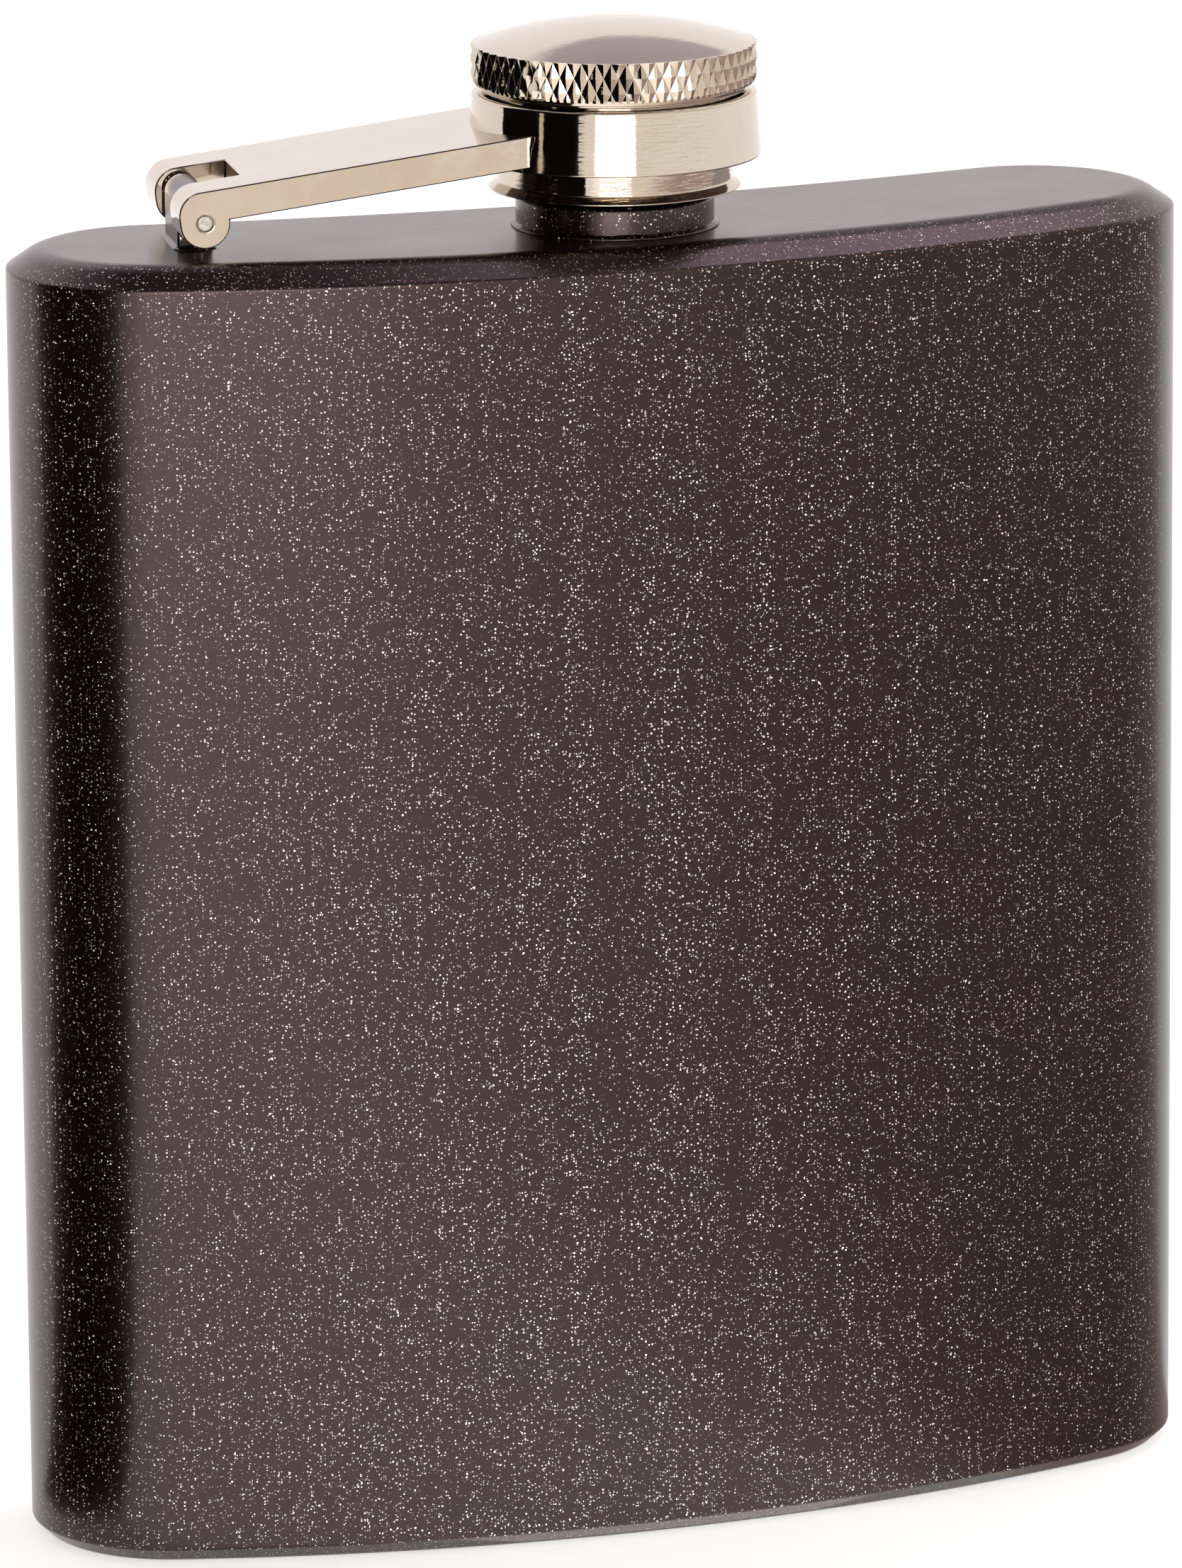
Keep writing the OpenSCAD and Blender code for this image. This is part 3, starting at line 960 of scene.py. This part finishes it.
def swing_arm():
    obj = prism("swing_arm_body", bar_side_view(), "y", AXIS_Y - 15 * MM, AXIS_Y + 15 * MM)
    plan = prism("bar_plan", bar_plan_view(), "z", TOP_Z - 5 * MM, TOP_Z + 20 * MM)
    combine(obj, plan, "INTERSECT")
    soften(obj, BAR_EDGE, segments=1)
    ring = sweep(
        "collar",
        profile(
            [
                (COLLAR_BORE_R, COLLAR_Z, 0.1 * MM),
                (COLLAR_FOOT_R, COLLAR_Z, 0.13 * MM),
                (COLLAR_TOP_R, COLLAR_Z + COLLAR_H, 0.28 * MM),
                (COLLAR_BORE_R, COLLAR_Z + COLLAR_H, 0.12 * MM),
            ],
            steps=5,
        ),
        circle,
        neck_centre,
    )
    combine(obj, ring, "UNION")
    half = ARM_W / 2
    for side in (-1, 1):
        face = AXIS_Y + side * half
        low, high = sorted((face - side * COUNTERSINK_D, face + side * MM))
        combine(obj, rod("countersink", COUNTERSINK_R, low, high), "DIFFERENCE")
    combine(obj, rod("pin_bore", PIN_R, AXIS_Y - half - MM, AXIS_Y + half + MM), "DIFFERENCE")
    weigh_normals(obj)
    turn_to_hinge(obj)
    return finish_piece(obj, NICKEL, "arm", "swing_arm")


# ---------------------------------------------------------------- cap
DIAMONDS = 59
KNURL_D = 0.27 * MM
KNURL_ROWS = 2.5


def cap_head():
    """Domed head with a cut diamond knurl. Each diamond is a small four-sided pyramid, and
    the grooves run along the lines between them."""
    columns = 2 * DIAMONDS
    step = 2 * math.pi / columns
    low = KNURL_Z
    high = KNURL_Z + KNURL_H
    row = KNURL_H / KNURL_ROWS
    valley_r = CAP_R - KNURL_D
    vertices = []
    faces = []

    def add_ring(radius_of, z, fine):
        start = len(vertices)
        count = 2 * columns if fine else columns
        for k in range(count):
            a = step * k * (0.5 if fine else 1)
            r = radius_of(k)
            vertices.append((r * math.cos(a), r * math.sin(a), z))
        return start

    def knurl_radius(j):
        return lambda k: valley_r if (k + j) % 2 == 0 else CAP_R

    # rows from the top edge down; the last one is cut through the middle of its diamonds
    rings = [add_ring(knurl_radius(j), high - row * j, False) for j in range(3)]
    cut_r = (valley_r + CAP_R) / 2
    cut = add_ring(lambda k: cut_r if k % 2 == 0 else valley_r, low, True)
    for j in range(2):
        upper, lower = rings[j], rings[j + 1]
        for k in range(columns):
            m = (k + 1) % columns
            if (k + j) % 2 == 0:
                faces.append((upper + k, lower + k, lower + m))
                faces.append((upper + k, lower + m, upper + m))
            else:
                faces.append((upper + k, lower + k, upper + m))
                faces.append((lower + k, lower + m, upper + m))
    upper = rings[2]
    for k in range(columns):
        m = (k + 1) % columns
        a, b, c = cut + 2 * k, cut + 2 * k + 1, cut + (2 * k + 2) % (2 * columns)
        if k % 2 == 0:
            faces.append((upper + k, a, b))
            faces.append((upper + k, b, c, upper + m))
        else:
            faces.append((upper + k, a, b, upper + m))
            faces.append((upper + m, b, c))

    def smooth_band(path, first, fine):
        """Turned part below or above the knurl, starting from a ring that exists."""
        count = 2 * columns if fine else columns
        previous = first
        for (u0, z0), (u1, z1) in zip(path, path[1:]):
            if abs(u0 - u1) < TINY and abs(z0 - z1) < TINY:
                continue
            closing = u1 < TINY
            if closing:
                vertices.append((0, 0, z1))
                here = len(vertices) - 1
            else:
                here = add_ring(lambda k, r=u1: r, z1, fine)
            for k in range(count):
                m = (k + 1) % count
                if closing:
                    face = (previous + k, previous + m, here)
                else:
                    face = (previous + k, previous + m, here + m, here + k)
                faces.append(face[::-1] if fine else face)
            if not closing:
                previous = here

    # above: a narrow step in from the knurl and the polished dome
    rim_step = 0.01 * MM
    rim_r = valley_r - 0.02 * MM
    dome_r = (rim_r ** 2 + DOME_H ** 2) / (2 * DOME_H)
    rim_tilt = math.acos(rim_r / dome_r)
    dome = [(valley_r, high), (rim_r, high + rim_step)]
    steps = 40
    top = high + DOME_H
    for k in range(1, steps + 1):
        tilt = rim_tilt + (math.pi / 2 - rim_tilt) * k / steps
        dome.append((dome_r * math.cos(tilt), top - dome_r + dome_r * math.sin(tilt)))
    dome[-1] = (0, top)
    smooth_band(dome, rings[0], False)

    # below: lip, washer, socket for the barrel and the seal's seat, written from outside in
    under = KNURL_Z - LIP_H
    seal_top = NECK_H + seal_high.z - seal_low.z
    socket = BARREL_BORE_R - SOCKET_GAP
    corners = [
        (0, seal_top, 0),
        (socket, seal_top, 0),
        (socket, BARREL_TOP, 0),
        (BARREL_R, BARREL_TOP, 0),
        (BARREL_R, under - WASHER_H, 0.05 * MM),
        (WASHER_R, under - WASHER_H, 0.06 * MM),
        (WASHER_R, under, 0.04 * MM),
        (CAP_R - LIP_IN, under, 0.12 * MM),
        (valley_r - 0.005 * MM, low - 0.2 * MM, 0.1 * MM),
        (valley_r - 0.005 * MM, low, 0),
    ]
    turned_part = [(u, z) for u, z, _ in profile(corners, closed=False, steps=4)[::-1]]
    smooth_band(turned_part, cut, True)
    obj = new_object("cap_head_knurled", [Vector(v) + Vector(neck_centre) for v in vertices], faces)
    soften(obj, 0.025 * MM, segments=2, degrees=12)
    weigh_normals(obj, 14)
    return finish_piece(obj, NICKEL, "cap", "cap_head")


def cap_barrel():
    cone_top = FLANGE_Z + FLANGE_EDGE + FLANGE_CONE
    outer = profile(
        [
            (BARREL_BORE_R, FLANGE_Z, 0),
            (FLANGE_R - FLANGE_UNDER, FLANGE_Z, 0.1 * MM),
            (FLANGE_R, FLANGE_Z + FLANGE_EDGE / 2, 0.05 * MM),
            (FLANGE_R, FLANGE_Z + FLANGE_EDGE, 0.05 * MM),
            (BARREL_R, cone_top, 0.25 * MM),
            (BARREL_R, BARREL_TOP, 0),
            (BARREL_BORE_R, BARREL_TOP, 0),
            (BARREL_BORE_R, THREAD_Z + 3 * MM, 0),
        ],
        closed=False,
    )
    inner = thread_rows(BARREL_BORE_R, THREAD_HIGH, THREAD_LOW, math.pi)

    def move(p, u):
        if THREAD_LOW - THREAD_MARGIN < p.z < THREAD_HIGH + THREAD_MARGIN and abs(u - BARREL_BORE_R) < 1e-6:
            grown = 1 - thread_height(p.x, p.y, p.z, RIDGE_H) / BARREL_BORE_R
            return Vector((p.x * grown, p.y * grown, p.z))
        return p

    obj = sweep("cap_barrel_threaded", outer + inner, circle, neck_centre, move=move)
    weigh_normals(obj)
    return finish_piece(obj, NICKEL, "cap", "cap_barrel")


def cap_seal():
    radius = seal_high.x
    low = seal_low.z - TOP_Z
    high = seal_high.z - TOP_Z
    path = profile(
        [(0, low, 0), (radius, low, 0.2 * MM), (radius, high, 0.1 * MM), (0, high, 0)],
        closed=False,
    )
    obj = sweep("cap_seal_disc", path, circle, neck_centre, closed_path=False)
    return finish_piece(obj, RUBBER, "seal", "cap_seal")


panel("front_panel_skin", front_strip, "front_panel")
panel("back_panel_skin", back_strip, "back_panel")
top_plate()
bottom_plate()
neck()
neck_weld()
hinge_lug()
lug_weld()
hinge_pin()
swing_arm()
cap_head()
cap_barrel()
cap_seal()


# ---------------------------------------------------------------- studio
def emission_material(name, colour, strength):
    made = bpy.data.materials.new(name)
    made.use_nodes = True
    tree = made.node_tree
    tree.nodes.clear()
    glow = tree.nodes.new("ShaderNodeEmission")
    out = tree.nodes.new("ShaderNodeOutputMaterial")
    glow.inputs["Color"].default_value = (*colour, 1)
    glow.inputs["Strength"].default_value = strength
    tree.links.new(glow.outputs[0], out.inputs["Surface"])
    return made


def studio_floor():
    """Plain pale floor."""
    size = 6.0
    points = [(-size, -size, 0), (size, -size, 0), (size, size, 0), (-size, size, 0)]
    obj = new_object("studio_floor", points, [(0, 1, 2, 3)])
    made, tree, shader = material("studio_floor")
    shader.inputs["Base Color"].default_value = (0.86, 0.86, 0.86, 1)
    shader.inputs["Roughness"].default_value = 0.9
    shader.inputs["Specular IOR Level"].default_value = 0.1
    shader.inputs["Emission Color"].default_value = (1.0, 1.0, 1.0, 1)
    shader.inputs["Emission Strength"].default_value = 0.62
    obj.data.materials.append(made)
    obj.location.z = -0.00002
    return obj


def card(name, points, faces, look):
    """Studio card that is only there for the reflections on the object."""
    obj = new_object(name, points, faces)
    obj.data.materials.append(look)
    obj.visible_camera = False
    obj.visible_diffuse = False
    obj.visible_shadow = False
    obj.visible_transmission = False
    obj.visible_volume_scatter = False
    return obj


# the painted light and shade of the floor card fan out from this point beside the middle of the flask
FLOOR_APEX_X = 0.0256


def painted_floor_light():
    """Emission of the card over the floor in front, seen only in reflections: a painted pool of light under
    the key light on the left, falling smoothly into painted shade that grows warmer towards the right."""
    made = bpy.data.materials.new("painted_floor_light")
    made.use_nodes = True
    tree = made.node_tree
    tree.nodes.clear()
    place = node(tree, "ShaderNodeTexCoord").outputs["Object"]
    split = node(tree, "ShaderNodeSeparateXYZ", {"Vector": place})
    across = math_node(tree, "SUBTRACT", split.outputs["X"], FLOOR_APEX_X)
    back = math_node(tree, "MULTIPLY", split.outputs["Y"], -1.0)
    angle = math_node(tree, "ARCTAN2", across, back)
    turn = math_node(tree, "ADD", math_node(tree, "DIVIDE", angle, 2 * math.pi), 0.5)

    def at(degrees):
        return degrees / 360 + 0.5

    colour = ramp(
        tree,
        turn,
        [
            (at(-24), (1.0, 0.95, 0.91)),
            (at(-1), (0.66, 0.6, 0.54)),
            (at(6), (0.66, 0.59, 0.52)),
            (at(22), (0.44, 0.37, 0.34)),
            (at(45), (0.31, 0.24, 0.23)),
            (at(85), (0.32, 0.25, 0.24)),
            (at(115), (0.44, 0.38, 0.35)),
        ],
    )
    glow = tree.nodes.new("ShaderNodeEmission")
    out = tree.nodes.new("ShaderNodeOutputMaterial")
    tree.links.new(colour, glow.inputs["Color"])
    glow.inputs["Strength"].default_value = 1.6
    tree.links.new(glow.outputs[0], out.inputs["Surface"])
    return made


studio_floor()
CARD_GAP = 0.0003
# the flag starts beside the flask's left end and widens to the left, where it also stands up
FLAG_START_X = -0.052
FLAG_START_HALF = 0.012
FLAG_X = -0.42
FLAG_Y = (-0.40, 0.215)
FLAG_H = 0.3
black = emission_material("black_card", (0.004, 0.003, 0.003), 1.0)
card(
    "black_flag",
    [
        (FLAG_START_X, -FLAG_START_HALF, CARD_GAP),
        (FLAG_X, FLAG_Y[0], CARD_GAP),
        (FLAG_X, FLAG_Y[1], CARD_GAP),
        (FLAG_START_X, FLAG_START_HALF, CARD_GAP),
        (FLAG_X, FLAG_Y[0], FLAG_H),
        (FLAG_X, FLAG_Y[1], FLAG_H),
    ],
    [(0, 3, 2, 1), (1, 2, 5, 4)],
    black,
)
FRONT = [
    (FLAG_START_X, -FLAG_START_HALF),
    (-0.30, -0.31),
    (-0.45, -0.62),
    (0.5, -0.62),
    (0.75, 0.2),
    (0.046, 0.004),
    (0.025, -FLAG_START_HALF),
]
# glossy-only card whose emission is painted light: a painted pool of light on the left and painted shade
# towards the right, seen only in reflections on the flask
card(
    "painted_floor_light",
    [(x, y, CARD_GAP) for x, y in FRONT],
    [tuple(range(len(FRONT)))],
    painted_floor_light(),
)
card(
    "light_strip",
    [(-0.39, -0.072, 0.06), (-0.395, -0.1, 0.06), (-0.395, -0.1, 0.15), (-0.39, -0.072, 0.15)],
    [(0, 1, 2, 3)],
    emission_material("strip_card", (0.8, 0.66, 0.52), 1.0),
)


def world():
    """Light tent: a bright backdrop, a warm front, a dark left side and a dim ceiling."""
    made = bpy.data.worlds.new("studio")
    bpy.context.scene.world = made
    made.use_nodes = True
    tree = made.node_tree
    back = tree.nodes["Background"]
    way = node(tree, "ShaderNodeTexCoord").outputs["Generated"]
    split = node(tree, "ShaderNodeSeparateXYZ", {"Vector": way})
    x, y, z = split.outputs["X"], split.outputs["Y"], split.outputs["Z"]
    angle = math_node(tree, "ARCTAN2", x, math_node(tree, "MULTIPLY", y, -1.0))
    turn = math_node(tree, "ADD", math_node(tree, "DIVIDE", angle, 2 * math.pi), 0.5)
    # round the horizon from behind, over the left and the front, to the right and behind
    backdrop = (1.15, 1.1, 1.13)
    around = ramp(
        tree,
        turn,
        [
            (0.0, backdrop),
            (0.155, (1.1, 1.05, 1.0)),
            (0.17, (0.01, 0.01, 0.01)),
            (0.375, (0.01, 0.01, 0.01)),
            (0.385, (1.1, 1.02, 0.9)),
            (0.56, (1.0, 0.92, 0.82)),
            (0.66, (0.8, 0.73, 0.65)),
            (0.76, (1.1, 1.05, 1.0)),
            (1.0, backdrop),
        ],
    )
    # the backdrop's upper edge falls towards the right
    edge = math_node(tree, "ADD", math_node(tree, "MULTIPLY", x, 0.5), y)
    edge = math_node(tree, "ADD", edge, z)
    beyond = ramp(tree, math_node(tree, "SUBTRACT", edge, 1.0), [(0.44, grey(0)), (0.46, grey(1))])
    high = ramp(tree, z, [(0.76, grey(0)), (0.8, grey(1))])
    above = math_node(tree, "MAXIMUM", beyond, high)
    ceiling = ramp(
        tree,
        z,
        [(0.3, (0.69, 0.61, 0.67)), (0.86, (0.5, 0.45, 0.5)), (0.97, (0.08, 0.06, 0.07))],
    )
    mix = node(tree, "ShaderNodeMix", data_type="RGBA")
    tree.links.new(above, mix.inputs["Factor"])
    tree.links.new(around, mix.inputs[6])
    tree.links.new(ceiling, mix.inputs[7])
    tree.links.new(mix.outputs[2], back.inputs["Color"])
    back.inputs["Strength"].default_value = 1.0


SOFTBOX_AIM_Z = 0.05


def softbox(name, azimuth, elevation, distance, width, height, radiance, colour):
    """Rectangular light that faces the flask. azimuth 0 is straight in front, and positive
    to the right, in degrees. radiance is how bright it looks."""
    data = bpy.data.lights.new(name, "AREA")
    data.shape = "RECTANGLE"
    data.size = width
    data.size_y = height
    data.energy = radiance * math.pi * width * height
    data.color = colour
    obj = bpy.data.objects.new(name, data)
    bpy.context.scene.collection.objects.link(obj)
    a, e = math.radians(azimuth), math.radians(elevation)
    way = Vector((math.sin(a) * math.cos(e), -math.cos(a) * math.cos(e), math.sin(e)))
    obj.location = Vector((0, 0, SOFTBOX_AIM_Z)) + way * distance
    obj.rotation_mode = "QUATERNION"
    obj.rotation_quaternion = (-way).to_track_quat("-Z", "Y")
    obj.visible_camera = False
    return obj


world()
key = softbox("key_softbox", -18, 10, 0.62, 0.34, 0.36, 3.6, (1.0, 0.96, 0.92))
key.visible_diffuse = False
softbox("top_softbox", 110, 65, 1.0, 0.36, 0.44, 2.0, (1.0, 0.84, 0.95))


# ---------------------------------------------------------------- camera
CAMERA_AZIMUTH = -18.56
CAMERA_ELEVATION = 13.45
CAMERA_ROLL = -0.491
CAMERA_DISTANCE = 785.865 * MM
CAMERA_TARGET = (-2.263 * MM, AXIS_Y, 55.772 * MM)
CAMERA_LENS = 239.775


def photo_camera():
    """Camera that sees the flask from where the photograph was taken."""
    azimuth = math.radians(CAMERA_AZIMUTH)
    elevation = math.radians(CAMERA_ELEVATION)
    roll = math.radians(CAMERA_ROLL)
    target = Vector(CAMERA_TARGET)
    back = Vector(
        (
            math.sin(azimuth) * math.cos(elevation),
            -math.cos(azimuth) * math.cos(elevation),
            math.sin(elevation),
        )
    )
    right = (-back).cross(Vector((0, 0, 1))).normalized()
    up = right.cross(-back)
    across = right * math.cos(roll) + up * math.sin(roll)
    upward = up * math.cos(roll) - right * math.sin(roll)
    data = bpy.data.cameras.new("photo_camera")
    data.sensor_width = 36
    data.sensor_fit = "AUTO"
    data.lens = CAMERA_LENS
    data.clip_start = 0.05
    data.clip_end = 30
    obj = bpy.data.objects.new("photo_camera", data)
    bpy.context.scene.collection.objects.link(obj)
    turn = Matrix((across, upward, back)).transposed().to_4x4()
    obj.matrix_world = Matrix.Translation(target + back * CAMERA_DISTANCE) @ turn
    bpy.context.scene.camera = obj
    return obj


photo_camera()
bpy.context.scene.view_settings.view_transform = "Standard"
